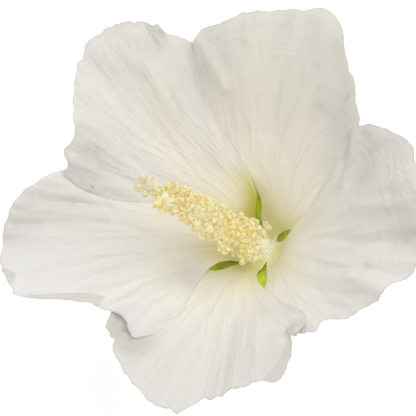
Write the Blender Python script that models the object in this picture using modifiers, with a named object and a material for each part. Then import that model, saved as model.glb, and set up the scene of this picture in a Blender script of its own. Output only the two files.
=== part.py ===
"""A picked rose of sharon blossom, lying face up on a surface.

The blossom is built in its own frame: the flower's axis is +Z, and azimuths run
anticlockwise seen from the front. An empty then lays it down on its stalk end and
on the rims of two petals. Lengths are in millimetres times MM, angles in degrees.
"""

import math

import bmesh
import bpy
import numpy as np
from mathutils import Matrix, Vector

MM = 0.001

# Corolla: the steepness of a petal, in degrees from the flower's axis, along its length
PROFILE_AT = [-3.0, 0.0, 6.0, 10.0, 14.0, 24.0, 40.0, 60.0, 70.0]
PROFILE_ANGLE = [6.0, 8.0, 14.0, 28.0, 42.0, 55.0, 68.0, 80.0, 85.0]
CLAW_RADIUS = 3.6
CLAW_HEIGHT = -5.0
PETAL_THICKNESS = 0.6
PETAL_CELLS = (16, 14)
PETAL_CELLS = (15, 13)
LAYER_BLEND = (0.32, 0.68)
SLIT_HALF_ANGLE = (3.0, 8.5)

# How far a margin is lifted off a neighbour's: from one length along the petal to another, and by how much
LAYER_STEPS = [(8.0, 18.0, 0.6), (18.0, 30.0, 0.5)]

# One petal each: the slits beside its claw, the azimuths of its blade's sides, the lengths
# where each side spreads from claw to blade, whether that side lies on its neighbour (+1) or
# below it (-1), and the petal's length at even steps across it
PETALS = {
    "petal_left": {
        "slits": (0.0, 72.0),
        "blade": (-12.0, 86.0),
        "spread": ((11.0, 24.0), (12.0, 29.0)),
        "layer": (-1, 1),
        "rim": [36, 45, 49, 55, 60, 61.5, 58, 47, 41.5, 41, 35],
    },
    "petal_lower": {
        "slits": (72.0, 144.0),
        "blade": (60.0, 163.0),
        "spread": ((12.0, 24.0), (12.0, 34.0)),
        "layer": (-1, 1),
        "rim": [36, 43.5, 45.5, 48, 50, 47.5, 46, 47.5, 47.5, 39.5, 34],
    },
    "petal_right": {
        "slits": (144.0, 216.0),
        "blade": (134.0, 246.0),
        "spread": ((12.0, 24.0), (13.0, 38.0)),
        "layer": (-1, 1),
        "rim": [26, 32, 37, 38.5, 45, 51, 55.5, 56.5, 56, 50.5, 42],
    },
    "petal_upper_right": {
        "slits": (216.0, 288.0),
        "blade": (208.0, 326.0),
        "spread": ((12.0, 21.0), (12.0, 24.0)),
        "layer": (-1, -1),
        "rim": [26, 34, 40, 42.5, 50.5, 58, 57.5, 55, 53, 49, 42],
    },
    "petal_upper_left": {
        "slits": (288.0, 360.0),
        "blade": (312.0, 375.5),
        "spread": ((17.0, 36.0), (12.0, 35.0)),
        "layer": (1, 1),
        "rim": [50, 55, 59.5, 61, 62, 59, 54.5, 51, 50.5, 49, 43],
    },
}

# Waves of the whole corolla: crests round the flower, height at the rim, phase
CROWN_WAVES = [(5, 1.4, 0.0), (9, 0.8, 200.0), (13, 1.0, 75.0)]
WAVE_START = 20.0
WAVE_FULL = 58.0

# Staminal column, which leans from the flower's axis towards this azimuth
COLUMN_AZIMUTH = 6.0
COLUMN_LEAN = 14.0
COLUMN_BEND = (0.0, 12.0)
COLUMN_TOP = 40.0
COLUMN_SIDES = 14
COLUMN_OUTER = [
    (1.25, 40.0),
    (1.5, 20.0),
    (1.6, 5.0),
    (1.8, 2.6),
    (2.3, 0.6),
    (2.9, -1.4),
    (3.1, -3.2),
    (3.0, -5.05),
]
COLUMN_INNER = [(2.35, -5.05), (2.2, -1.6), (1.6, 0.6), (0.95, 3.5), (0.85, 20.0), (0.8, 40.0)]
STAMEN_COUNT = 100
STAMEN_ZONE = (4.5, 39.4)
STAMEN_REACH = (4.1, 3.1)
STAMEN_ROOT = 1.1
STAMEN_SCATTER = {"height": 0.5, "azimuth": 14.0, "reach": 0.55, "rise": 0.6, "turn": 1.6}
STAMEN_RISE = 0.5
LOWEST_REACH = 0.75
ANTHER_SIZE = (1.0, 0.68, 0.55)
ANTHER_CURVE = 0.35
FILAMENT_RADIUS = 0.24
GOLDEN_ANGLE = 137.5

# Pistil: the ovary stands on the receptacle, and its style runs up inside the column
PISTIL_OUTLINE = [
    (0.0, 41.5),
    (0.42, 40.9),
    (0.42, 20.0),
    (0.45, 1.2),
    (1.15, -0.6),
    (1.8, -2.2),
    (1.95, -3.8),
    (1.6, -5.08),
    (0.0, -5.08),
]
PISTIL_SIDES = 12
STIGMA_COUNT = 5
STIGMA_ROOT = 0.13
STIGMA_SPREAD = 1.7
STIGMA_TOP = 45.2
STIGMA_RADIUS = 0.85
STIGMA_STALK_RADIUS = 0.36

# Calyx, epicalyx and stalk
CALYX_THICKNESS = 0.7
CALYX_BELOW_PETALS = (1.0, 1.7)
CALYX_START = -1.8
CALYX_SINUS = 9.5
SEPAL_LENGTH = 19.5
SEPAL_TAPER = 1.15
CALYX_CELLS = (40, 6)
BRACT_COUNT = 7
BRACT_WIDTH = 1.5
BRACT_THICKNESS = 0.7
BRACT_STEPS = 7
BRACT_TAPER = (0.18, 0.95)
BRACT_FOLD = 0.12
BRACT_LINE = [(2.2, -9.25), (4.4, -8.9), (6.6, -7.0), (7.9, -4.0), (9.0, -0.6)]
COLLAR_OUTLINE = [(1.75, -8.75), (2.7, -8.75), (2.7, -9.75), (1.75, -9.75)]
COLLAR_SIDES = 14
STALK_OUTLINE = [
    (0.0, -5.4),
    (3.7, -5.4),
    (3.7, -6.9),
    (2.9, -7.7),
    (1.43, -8.5),
    (1.35, -10.4),
    (1.25, -13.0),
    (0.0, -13.0),
]
STALK_SIDES = 20

# How the blossom lies: it leans towards this azimuth, by this much from upright
LEAN_AZIMUTH = 0.38
LEAN_ANGLE = 41.99
HEADING = 150.0
RESTING_PLACE = (18.05, -11.58, 10.50)

COLOURS = {
    "petal": ((0.86, 0.86, 0.82), 0.55),
    "stamens": ((0.93, 0.87, 0.60), 0.7),
    "pistil": ((0.88, 0.90, 0.76), 0.5),
    "calyx": ((0.36, 0.50, 0.08), 0.6),
    "bracts": ((0.33, 0.46, 0.10), 0.6),
    "stalk": ((0.30, 0.42, 0.12), 0.65),
}


def smooth(x, start, end):
    """Rises from 0 at start to 1 at end, level at both."""
    t = np.clip((np.asarray(x, float) - start) / (end - start), 0.0, 1.0)
    return t * t * (3 - 2 * t)


def through(values, t):
    """A smooth curve through evenly spaced values, read at t from 0 to 1."""
    v = np.asarray(values, float)
    x = np.clip(np.asarray(t, float), 0.0, 1.0) * (len(v) - 1)
    i = np.minimum(x.astype(int), len(v) - 2)
    f = x - i
    a, b = v[i], v[i + 1]
    rise_a = (b - v[np.maximum(i - 1, 0)]) / 2
    rise_b = (v[np.minimum(i + 2, len(v) - 1)] - a) / 2
    blend = f * f * (3 - 2 * f)
    return a + (b - a) * blend + rise_a * f * (1 - f) ** 2 - rise_b * f * f * (1 - f)


def profile_table():
    """The corolla's section: length along it, radius, height and steepness, in mm and radians."""
    step = 0.25
    s = np.arange(PROFILE_AT[0], PROFILE_AT[-1] + step, step)
    angle = np.interp(s, PROFILE_AT, PROFILE_ANGLE)
    blur = np.hanning(15)
    angle = np.radians(np.convolve(np.pad(angle, 7, mode="edge"), blur / blur.sum(), "valid"))
    middle = (angle[1:] + angle[:-1]) / 2
    radius = np.concatenate([[0], np.cumsum(np.sin(middle)) * step])
    height = np.concatenate([[0], np.cumsum(np.cos(middle)) * step])
    radius += CLAW_RADIUS - np.interp(0, s, radius)
    height += CLAW_HEIGHT - np.interp(0, s, height)
    return s, radius, height, angle


TABLE = profile_table()


def corolla_point(azimuth, s, lift):
    """Points of the corolla's surface, raised by lift along its normal, towards the flower's axis."""
    angle = np.interp(s, TABLE[0], TABLE[3])
    radius = np.interp(s, TABLE[0], TABLE[1]) - lift * np.cos(angle)
    height = np.interp(s, TABLE[0], TABLE[2]) + lift * np.sin(angle)
    a = np.radians(azimuth)
    return np.stack([radius * np.cos(a), radius * np.sin(a), height], -1)


def crown_wave(azimuth, s):
    total = 0.0
    for crests, height, phase in CROWN_WAVES:
        total = total + height * np.cos(np.radians(crests * azimuth + phase))
    return total * smooth(s, WAVE_START, WAVE_FULL)


def petal_surface(spec, u, v):
    """A petal's middle surface at u across it, from its low azimuth to its high one, and v along it."""
    s = v * through(spec["rim"], u)
    slit = SLIT_HALF_ANGLE[0] + (SLIT_HALF_ANGLE[1] - SLIT_HALF_ANGLE[0]) * smooth(s, 3.0, 10.0)
    sides = []
    for side, sign in ((0, 1), (1, -1)):
        claw = spec["slits"][side] + sign * slit
        sides.append(claw + (spec["blade"][side] - claw) * smooth(s, *spec["spread"][side]))
    azimuth = sides[0] + u * (sides[1] - sides[0])
    layer = spec["layer"][0] + (spec["layer"][1] - spec["layer"][0]) * smooth(u, *LAYER_BLEND)
    step = sum(height * smooth(s, start, end) for start, end, height in LAYER_STEPS)
    return corolla_point(azimuth, s, layer * step + crown_wave(azimuth, s))


def column_centre(z):
    """The column's middle line: its x and height at length z, and its lean there."""
    at = np.linspace(COLUMN_BEND[0], 60.0, 241)
    lean = np.radians(COLUMN_LEAN) * smooth(at, *COLUMN_BEND)
    step = at[1] - at[0]
    middle = (lean[1:] + lean[:-1]) / 2
    x = np.concatenate([[0], np.cumsum(np.sin(middle)) * step])
    h = np.concatenate([[0], np.cumsum(np.cos(middle)) * step])
    height = np.where(z < at[0], z, np.interp(z, at, h))
    return np.interp(z, at, x), height, np.interp(z, at, lean)


def lean_with_column(mesh):
    """Bends a mesh that was made upright on the axis along the column's middle line."""
    points = np.empty(len(mesh.vertices) * 3, np.float32)
    mesh.vertices.foreach_get("co", points)
    p = points.reshape(-1, 3).astype(float) / MM
    x, height, lean = column_centre(p[:, 2])
    along = x + p[:, 0] * np.cos(lean)
    turn = math.radians(COLUMN_AZIMUTH)
    bent = np.stack(
        [
            along * math.cos(turn) - p[:, 1] * math.sin(turn),
            along * math.sin(turn) + p[:, 1] * math.cos(turn),
            height - p[:, 0] * np.sin(lean),
        ],
        -1,
    )
    mesh.vertices.foreach_set("co", (bent * MM).astype(np.float32).ravel())
    mesh.update()


def material(name, colour, roughness):
    made = bpy.data.materials.new(name)
    made.use_nodes = True
    shader = made.node_tree.nodes["Principled BSDF"]
    shader.inputs["Base Color"].default_value = (*colour, 1.0)
    shader.inputs["Roughness"].default_value = roughness
    shader.inputs["Metallic"].default_value = 0.0
    made.diffuse_color = (*colour, 1.0)
    return made


def new_object(name, mesh, collection, finish=None):
    obj = bpy.data.objects.new(name, mesh)
    collection.objects.link(obj)
    if finish:
        mesh.materials.append(finish)
    return obj


def new_collection(name):
    collection = bpy.data.collections.new(name)
    bpy.context.scene.collection.children.link(collection)
    return collection


def mesh_from(bm, name):
    mesh = bpy.data.meshes.new(name)
    bm.to_mesh(mesh)
    bm.free()
    mesh.shade_smooth()
    return mesh


def turned(name, outline, sides, collection, finish, closed_loop=False):
    """A piece turned round Z from an outline of (radius, height) that runs down its outer side."""
    bm = bmesh.new()
    verts = [bm.verts.new((radius * MM, 0, height * MM)) for radius, height in outline]
    for pair in zip(verts, verts[1:]):
        bm.edges.new(pair)
    if closed_loop:
        bm.edges.new((verts[-1], verts[0]))
    obj = new_object(name, mesh_from(bm, name), collection, finish)
    screw = obj.modifiers.new("turn", "SCREW")
    screw.axis = "Z"
    screw.angle = math.tau
    screw.steps = sides
    screw.render_steps = sides
    screw.use_merge_vertices = True
    screw.merge_threshold = 0.01 * MM
    screw.use_smooth_shade = True
    return obj


def thicken(obj, thickness):
    shell = obj.modifiers.new("thickness", "SOLIDIFY")
    shell.thickness = thickness * MM
    shell.offset = 0.0
    shell.use_even_offset = True
    shell.use_quality_normals = True


def surface_object(name, cells, surface, collection, finish=None):
    """A grid laid on surface(u, v), welded where its sides meet, and split into triangles."""
    bm = bmesh.new()
    bmesh.ops.create_grid(bm, x_segments=cells[0], y_segments=cells[1], size=0.5)
    flat = np.array([vert.co for vert in bm.verts]) + 0.5
    for vert, point in zip(bm.verts, surface(flat[:, 0], flat[:, 1])):
        vert.co = point * MM
    bmesh.ops.remove_doubles(bm, verts=bm.verts, dist=0.01 * MM)
    bmesh.ops.triangulate(bm, faces=bm.faces, quad_method="SHORT_EDGE")
    return new_object(name, mesh_from(bm, name), collection, finish)


def make_petal(name, spec, collection, finish):
    petal = surface_object(name, PETAL_CELLS, lambda u, v: petal_surface(spec, u, v), collection, finish)
    thicken(petal, PETAL_THICKNESS)
    return petal


def join_repeats(body, repeats):
    """Unites a body with the objects of a collection, then removes them."""
    union = body.modifiers.new("union", "BOOLEAN")
    union.operation = "UNION"
    union.operand_type = "COLLECTION"
    union.collection = repeats
    union.solver = "MANIFOLD"
    bpy.context.view_layer.update()
    graph = bpy.context.evaluated_depsgraph_get()
    joined = bpy.data.meshes.new_from_object(body.evaluated_get(graph), depsgraph=graph)
    body.modifiers.clear()
    body.data = joined
    for obj in list(repeats.objects):
        bpy.data.objects.remove(obj)
    bpy.data.collections.remove(repeats)
    return joined


def add_rod(name, foot, head, sides, radius, collection):
    along = head - foot
    place = Matrix.Translation((foot + head) / 2) @ along.to_track_quat("Z", "Y").to_matrix().to_4x4()
    bm = bmesh.new()
    bmesh.ops.create_cone(
        bm,
        cap_ends=True,
        segments=sides,
        radius1=radius * MM,
        radius2=radius * MM,
        depth=along.length,
        matrix=place,
    )
    new_object(name, mesh_from(bm, name), collection)


def add_anther(name, head, along, turn, collection):
    """A bean-shaped anther across the end of its filament."""
    bm = bmesh.new()
    bmesh.ops.create_icosphere(bm, subdivisions=1, radius=MM)
    for vert in bm.verts:
        vert.co.z -= ANTHER_CURVE * MM * (vert.co.x / MM) ** 2
    direction = along.to_track_quat("Z", "Y").to_matrix().to_4x4()
    place = Matrix.Translation(head) @ direction @ Matrix.Rotation(turn, 4, "Z")
    bmesh.ops.transform(bm, verts=bm.verts, matrix=place @ Matrix.Diagonal((*ANTHER_SIZE, 1.0)))
    new_object(name, mesh_from(bm, name), collection)


def stamen_places():
    """Each stamen's foot, head and turn: a spiral up the column, with a seeded scatter."""
    draw = np.random.default_rng(7)
    scatter = STAMEN_SCATTER
    for i in range(STAMEN_COUNT):
        t = (i + 0.5) / STAMEN_COUNT
        jitter = {key: draw.uniform(-size, size) for key, size in scatter.items()}
        z = STAMEN_ZONE[0] + (STAMEN_ZONE[1] - STAMEN_ZONE[0]) * t + jitter["height"]
        azimuth = math.radians(i * GOLDEN_ANGLE + jitter["azimuth"])
        reach = STAMEN_REACH[0] + (STAMEN_REACH[1] - STAMEN_REACH[0]) * t + jitter["reach"]
        reach *= LOWEST_REACH + (1 - LOWEST_REACH) * float(smooth(t, 0.0, 0.2))
        out = Vector((math.cos(azimuth), math.sin(azimuth), 0))
        foot = (out * STAMEN_ROOT + Vector((0, 0, z))) * MM
        head = (out * reach + Vector((0, 0, z + STAMEN_RISE + jitter["rise"]))) * MM
        yield foot, head, jitter["turn"]


def make_stamens(collection, finish):
    """The staminal column: a hollow tube with a filament and a bean-shaped anther for each stamen."""
    loop = COLUMN_OUTER + COLUMN_INNER
    body = turned("staminal_column", loop, COLUMN_SIDES, collection, finish, closed_loop=True)
    stamens = new_collection("stamens")
    for i, (foot, head, turn) in enumerate(stamen_places()):
        add_rod(f"filament_{i}", foot, head, 3, FILAMENT_RADIUS, stamens)
        add_anther(f"anther_{i}", head, head - foot, turn, stamens)
    lean_with_column(join_repeats(body, stamens))
    return body


def make_pistil(collection, finish):
    """Ovary, style and five stigma branches with round heads, as one piece."""
    body = turned("pistil", PISTIL_OUTLINE, PISTIL_SIDES, collection, finish)
    stigmas = new_collection("stigmas")
    for i in range(STIGMA_COUNT):
        azimuth = math.tau * (i + 0.5) / STIGMA_COUNT
        out = Vector((math.cos(azimuth), math.sin(azimuth), 0))
        foot = (out * STIGMA_ROOT + Vector((0, 0, COLUMN_TOP))) * MM
        head = (out * STIGMA_SPREAD + Vector((0, 0, STIGMA_TOP - STIGMA_RADIUS))) * MM
        add_rod(f"branch_{i}", foot, head, 6, STIGMA_STALK_RADIUS, stigmas)
        bm = bmesh.new()
        place = Matrix.Translation(head)
        bmesh.ops.create_icosphere(bm, subdivisions=2, radius=STIGMA_RADIUS * MM, matrix=place)
        new_object(f"stigma_{i}", mesh_from(bm, "stigma"), stigmas)
    lean_with_column(join_repeats(body, stigmas))
    return body


def calyx_surface(u, v):
    """The calyx's middle surface: a cup with five pointed lobes that stand behind the slits."""
    azimuth = u * 360.0
    from_lobe = np.abs((azimuth + 36.0) % 72.0 - 36.0) / 36.0
    reach = CALYX_SINUS + (SEPAL_LENGTH - CALYX_SINUS) * (1 - from_lobe) ** SEPAL_TAPER
    s = CALYX_START + (reach - CALYX_START) * v
    near, far = CALYX_BELOW_PETALS
    return corolla_point(azimuth, s, -near - (far - near) * smooth(s, 8.0, 18.0))


def make_calyx(collection, finish):
    calyx = surface_object("calyx", CALYX_CELLS, calyx_surface, collection, finish)
    thicken(calyx, CALYX_THICKNESS)
    return calyx


def bract_surface(azimuth, u, v):
    """One bract's middle surface, at u across it and v along it: a slim blade on a curved line."""
    radius = through([r for r, z in BRACT_LINE], v)
    height = through([z for r, z in BRACT_LINE], v)
    base, tip = BRACT_TAPER
    half = BRACT_WIDTH / 2 * np.sqrt(np.sin(np.pi * (base + (tip - base) * v)))
    across = (2 * u - 1) * half
    turn = math.radians(azimuth)
    x = radius * math.cos(turn) - across * math.sin(turn)
    y = radius * math.sin(turn) + across * math.cos(turn)
    return np.stack([x, y, height + BRACT_FOLD * np.abs(2 * u - 1)], -1)


def make_epicalyx(collection, finish):
    """Slim bracts under the calyx, on a collar round the stalk."""
    body = turned("epicalyx", COLLAR_OUTLINE, COLLAR_SIDES, collection, finish, closed_loop=True)
    bracts = new_collection("bracts")
    for i in range(BRACT_COUNT):
        azimuth = 360.0 * i / BRACT_COUNT
        cells = (2, BRACT_STEPS - 1)
        bract = surface_object(f"bract_{i}", cells, lambda u, v: bract_surface(azimuth, u, v), bracts)
        thicken(bract, BRACT_THICKNESS)
    join_repeats(body, bracts)
    return body


def resting_pose(collection):
    """The empty that lays the flower down: it spins it to its leaning side, tips it and turns it."""
    pose = bpy.data.objects.new("resting_pose", None)
    collection.objects.link(pose)
    spin = Matrix.Rotation(math.radians(-LEAN_AZIMUTH), 4, "Z")
    tip = Matrix.Rotation(math.radians(LEAN_ANGLE), 4, "Y")
    heading = Matrix.Rotation(math.radians(HEADING), 4, "Z")
    pose.matrix_world = Matrix.Translation(Vector(RESTING_PLACE) * MM) @ heading @ tip @ spin
    return pose


def main():
    for obj in list(bpy.data.objects):
        bpy.data.objects.remove(obj, do_unlink=True)
    blossom = new_collection("rose_of_sharon_blossom")
    finish = {name: material(name, *values) for name, values in COLOURS.items()}
    pieces = [make_petal(name, spec, blossom, finish["petal"]) for name, spec in PETALS.items()]
    pieces.append(make_stamens(blossom, finish["stamens"]))
    pieces.append(make_pistil(blossom, finish["pistil"]))
    pieces.append(make_calyx(blossom, finish["calyx"]))
    pieces.append(make_epicalyx(blossom, finish["bracts"]))
    pieces.append(turned("stalk", STALK_OUTLINE, STALK_SIDES, blossom, finish["stalk"]))
    pose = resting_pose(blossom)
    for piece in pieces:
        piece.parent = pose


main()
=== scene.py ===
import math

import bpy
import numpy as np
from mathutils import Matrix, Vector


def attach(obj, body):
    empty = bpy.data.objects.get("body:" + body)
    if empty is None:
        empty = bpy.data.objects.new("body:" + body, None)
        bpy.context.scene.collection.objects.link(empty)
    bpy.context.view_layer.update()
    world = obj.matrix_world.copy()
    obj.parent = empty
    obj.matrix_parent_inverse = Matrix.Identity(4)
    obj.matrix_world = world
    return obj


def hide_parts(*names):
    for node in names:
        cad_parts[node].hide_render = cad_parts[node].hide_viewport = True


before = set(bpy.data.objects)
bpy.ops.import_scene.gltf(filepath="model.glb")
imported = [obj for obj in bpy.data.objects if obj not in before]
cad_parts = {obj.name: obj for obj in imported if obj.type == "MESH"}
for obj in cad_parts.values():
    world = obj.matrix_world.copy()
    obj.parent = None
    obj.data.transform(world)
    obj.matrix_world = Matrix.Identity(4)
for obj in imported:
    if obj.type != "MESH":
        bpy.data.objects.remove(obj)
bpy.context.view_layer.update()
print("scene: frame loaded")

millimetre = 0.001
body = "root"

# How the blossom lies: the same lean, heading and place as the solids have
lie = {"leanAzimuth": 0.38, "leanAngle": 41.99, "heading": 150.0, "place": (18.05, -11.58, 10.50)}

# The photograph: where the petals meet in it, how far the flower's axis is tilted from the view,
# which way it tips in the picture, and the camera's distance from the point where the petals meet
photo = {
    "pixels": 416,
    "mmPerPixel": 0.215,
    "meetingPixel": (266.0, 248.0),
    "axisTilt": 27.0,
    "tipDirection": 150.0,
    "distance": 450.0,
    "sensor": 36.0,
}


def turnZ(degrees):
    a = math.radians(degrees)
    return np.array([[math.cos(a), -math.sin(a), 0], [math.sin(a), math.cos(a), 0], [0, 0, 1]])


def turnY(degrees):
    a = math.radians(degrees)
    return np.array([[math.cos(a), 0, math.sin(a)], [0, 1, 0], [-math.sin(a), 0, math.cos(a)]])


lieTurn = turnZ(lie["heading"]) @ turnY(lie["leanAngle"]) @ turnZ(-lie["leanAzimuth"])


def toWorld(points):
    # flower frame in millimetres to the part's frame in metres
    return (points @ lieTurn.T + np.array(lie["place"])) * millimetre


def smooth(x, start, end):
    # rises from 0 at start to 1 at end, level at both
    t = np.clip((np.asarray(x, float) - start) / (end - start), 0.0, 1.0)
    return t * t * (3 - 2 * t)


def blurred(values, reach):
    # a running mean with a bell-shaped window of 2 * reach + 1 values
    window = np.hanning(2 * reach + 3)
    return np.convolve(np.pad(values, reach + 1, mode="edge"), window / window.sum(), "valid")


def valueNoise(x, y, seed):
    # smooth noise from -1 to 1: random values on a whole-number lattice, blended between
    lattice = np.random.default_rng(seed).uniform(-1, 1, (64, 64))
    i, j = np.floor(x).astype(int), np.floor(y).astype(int)
    fx, fy = x - i, y - j
    fx, fy = fx * fx * (3 - 2 * fx), fy * fy * (3 - 2 * fy)
    a, b = lattice[i % 64, j % 64], lattice[(i + 1) % 64, j % 64]
    c, d = lattice[i % 64, (j + 1) % 64], lattice[(i + 1) % 64, (j + 1) % 64]
    return (a + (b - a) * fx) * (1 - fy) + (c + (d - c) * fx) * fy


def gridQuads(columns, rows, wrapped=0):
    # corner numbers of a grid's quads; 1 joins its last column to its first, 2 joins its rows as well
    i = np.arange(columns - (wrapped < 1))[:, None]
    j = np.arange(rows - (wrapped < 2))[None, :]
    i, j = np.broadcast_arrays(i, j)
    k, m = (i + 1) % columns, (j + 1) % rows
    return np.stack([i * rows + j, k * rows + j, k * rows + m, i * rows + m], -1).reshape(-1, 4)


def outward(points, faces):
    # faces turned round where the volume they enclose comes out negative
    volume = 0.0
    for corners in faces:
        a = points[corners[:, 0]]
        for k in range(1, corners.shape[1] - 1):
            volume += np.einsum("ni,ni->", a, np.cross(points[corners[:, k]], points[corners[:, k + 1]]))
    return points, [corners[:, ::-1] for corners in faces] if volume < 0 else faces


def closedTube(grid):
    # a grid of points wrapped round its first way, each end drawn to a point at its middle
    around, along = grid.shape[:2]
    ends = np.stack([grid[:, 0].mean(0), grid[:, -1].mean(0)])
    here = np.arange(around) * along
    after = np.roll(here, -1)
    foot = np.stack([np.full(around, around * along), after, here], -1)
    tip = np.stack([np.full(around, around * along + 1), here + along - 1, after + along - 1], -1)
    points = np.concatenate([grid.reshape(-1, 3), ends])
    return outward(points, [gridQuads(around, along, 1), np.concatenate([foot, tip])])


def closedRing(grid):
    # a grid of points wrapped both ways
    return outward(grid.reshape(-1, 3), [gridQuads(*grid.shape[:2], 2)])


def copies(shape, places, turns, scales):
    # one small shape many times over: scaled, turned by its own matrix and moved to its place
    points, faces = shape
    moved = np.einsum("nij,vj->nvi", turns, points) * scales[:, None, None] + places[:, None, :]
    start = (np.arange(len(places)) * len(points))[:, None, None]
    return moved.reshape(-1, 3), [(f[None] + start).reshape(-1, f.shape[1]) for f in faces]


def joined(shapes):
    # several shapes as one, with their corner numbers moved on
    starts = np.cumsum([0] + [len(points) for points, _ in shapes])
    faces = [corners + start for start, (_, parts) in zip(starts, shapes) for corners in parts]
    return np.concatenate([points for points, _ in shapes]), faces


def newPiece(name, shape, maps=None, values=None):
    # one mesh object from a shape in the flower's frame: points, and faces of three or four corners
    points, faces = shape
    mesh = bpy.data.meshes.new(name)
    corners = np.concatenate([f.ravel() for f in faces])
    sizes = np.concatenate([np.full(len(f), f.shape[1]) for f in faces])
    mesh.vertices.add(len(points))
    mesh.vertices.foreach_set("co", toWorld(points).astype(np.float32).ravel())
    mesh.loops.add(len(corners))
    mesh.loops.foreach_set("vertex_index", corners.astype(np.int32))
    mesh.polygons.add(len(sizes))
    mesh.polygons.foreach_set("loop_start", (np.cumsum(sizes) - sizes).astype(np.int32))
    mesh.update(calc_edges=True)
    for mapName, coordinates in (maps or {}).items():
        layer = mesh.uv_layers.new(name=mapName)
        layer.data.foreach_set("uv", np.asarray(coordinates, np.float32)[corners].ravel())
    for valueName, numbers in (values or {}).items():
        attribute = mesh.attributes.new(valueName, "FLOAT", "POINT")
        attribute.data.foreach_set("value", np.asarray(numbers, np.float32).ravel())
    mesh.shade_smooth()
    piece = bpy.data.objects.new(name, mesh)
    bpy.context.scene.collection.objects.link(piece)
    return piece


def finishPiece(piece, finish, node):
    piece.data.materials.append(finish)
    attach(piece, body)
    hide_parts(node)


def surfaceNormals(points):
    # unit normals of a grid of points, from its tangents both ways
    normals = np.cross(np.gradient(points, axis=1), np.gradient(points, axis=0))
    return normals / np.maximum(np.linalg.norm(normals, axis=-1, keepdims=True), 1e-9)


def shell(points, thickness):
    # a closed skin round a grid of points: its two faces, half the thickness to either side, and a rim
    columns, rows = points.shape[:2]
    half = np.broadcast_to(np.asarray(thickness) / 2, points.shape[:2])[..., None]
    offset = surfaceNormals(points) * half
    both = np.concatenate([(points + offset).reshape(-1, 3), (points - offset).reshape(-1, 3)])
    front = gridQuads(columns, rows)[:, ::-1]
    count = columns * rows
    number = np.arange(count).reshape(columns, rows)
    edge = np.concatenate([number[:, 0], number[-1, 1:], number[-2::-1, -1], number[0, -2::-1]])
    rim = np.stack([edge[:-1], edge[1:], edge[1:] + count, edge[:-1] + count], -1)
    return outward(both, [np.concatenate([front, front[:, ::-1] + count, rim])])


class Signal:
    # a shader socket that adds its maths nodes when it is used in an expression
    def __init__(self, finish, socket):
        self.finish = finish
        self.socket = socket

    def maths(self, operation, *others):
        return self.finish.maths(operation, self, *others)

    def __add__(self, other):
        return self.maths("ADD", other)

    def __sub__(self, other):
        return self.maths("SUBTRACT", other)

    def __rsub__(self, other):
        return self.finish.maths("SUBTRACT", other, self)

    def __mul__(self, other):
        return self.maths("MULTIPLY", other)

    def __abs__(self):
        return self.maths("ABSOLUTE")

    __radd__ = __add__
    __rmul__ = __mul__

    def rise(self, start, end):
        # 0 below start, 1 above end, smooth between
        values = {"Value": self, "From Min": start, "From Max": end}
        return self.finish.node("ShaderNodeMapRange", {"interpolation_type": "SMOOTHSTEP"}, values)


class Finish:
    # a material with one Principled shader, and one method for every other node
    def __init__(self, name, **fixed):
        self.material = bpy.data.materials.new(name)
        self.material.use_nodes = True
        self.tree = self.material.node_tree
        self.shader = self.tree.nodes["Principled BSDF"]
        for socket, value in fixed.items():
            self.shader.inputs[socket.replace("_", " ")].default_value = value

    def node(self, kind, settings=None, values=None, output=0):
        made = self.tree.nodes.new(kind)
        for key, value in (settings or {}).items():
            if key == "stops":
                self.setStops(made.color_ramp, value)
            else:
                setattr(made, key, value)
        for key, value in (values or {}).items():
            self.feed(made.inputs[key], value)
        return Signal(self, made.outputs[output])

    def setStops(self, ramp, stops):
        while len(ramp.elements) < len(stops):
            ramp.elements.new(1.0)
        for element, (position, shade) in zip(ramp.elements, stops):
            element.position = position
            element.color = (*shade, 1.0)

    def feed(self, socket, value):
        if isinstance(value, Signal):
            self.tree.links.new(value.socket, socket)
        else:
            socket.default_value = value

    def set(self, name, value):
        self.feed(self.shader.inputs[name], value)

    def maths(self, operation, *values):
        return self.node("ShaderNodeMath", {"operation": operation}, dict(enumerate(values)))

    def place(self):
        return self.node("ShaderNodeTexCoord", output=3)

    def noise(self, scale, detail=2.0, where=None):
        values = {"Scale": scale, "Detail": detail, "Vector": where or self.place()}
        return self.node("ShaderNodeTexNoise", None, values)

    def stretched(self, x, y):
        # a place on a petal, with the petal's own number as its third part, so that no two are alike
        values = {"X": x, "Y": y, "Z": self.value("veinSeed")}
        return self.node("ShaderNodeCombineXYZ", None, values)

    def value(self, name):
        return self.node("ShaderNodeAttribute", {"attribute_name": name}, output=2)

    def blend(self, factor, a, b):
        values = {"Factor": factor, 6: self.shade(a), 7: self.shade(b)}
        return self.node("ShaderNodeMix", {"data_type": "RGBA"}, values, output=2)

    def shade(self, colour):
        return colour if isinstance(colour, Signal) else (*colour, 1.0)

    def ramp(self, factor, stops):
        return self.node("ShaderNodeValToRGB", {"stops": stops}, {"Fac": factor})

    def glow(self, colour, strength):
        # painted light: a little even emission, standing in for light that shines through thin parts
        # lying close together
        self.set("Emission Color", self.shade(colour))
        self.set("Emission Strength", strength)

    def bump(self, height, distance):
        self.set("Normal", self.node("ShaderNodeBump", None, {"Distance": distance, "Height": height}))


def flesh(name, roughness, softness, depth, tint):
    # a plant's skin: light enters it and spreads under the surface, in the tint's colour
    settings = {"Roughness": roughness, "Subsurface_Weight": softness, "Subsurface_Scale": depth}
    return Finish(name, Subsurface_Radius=tint, Specular_IOR_Level=0.3, **settings)


# The corolla's section: its steepness in degrees from the flower's axis, by length along a petal in mm.
# The throat is (length, radius, height), and the calyx follows it between the two drawnIn lengths
section = {
    "at": [-3, 0, 6, 10, 14, 24, 40, 60, 70],
    "angle": [6, 8, 14, 28, 42, 55, 68, 80, 85],
    "clawRadius": 3.6,
    "clawHeight": -5.0,
    "throat": [(0, 1.3, 0.55), (2, 2.2, 0.8), (4, 3.0, 1.15), (6, 3.9, 1.8), (8, 5.2, 2.95),
               (9.5, 6.0, 4.2)],
    "drawnIn": (0.5, 4.5),
}


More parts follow.
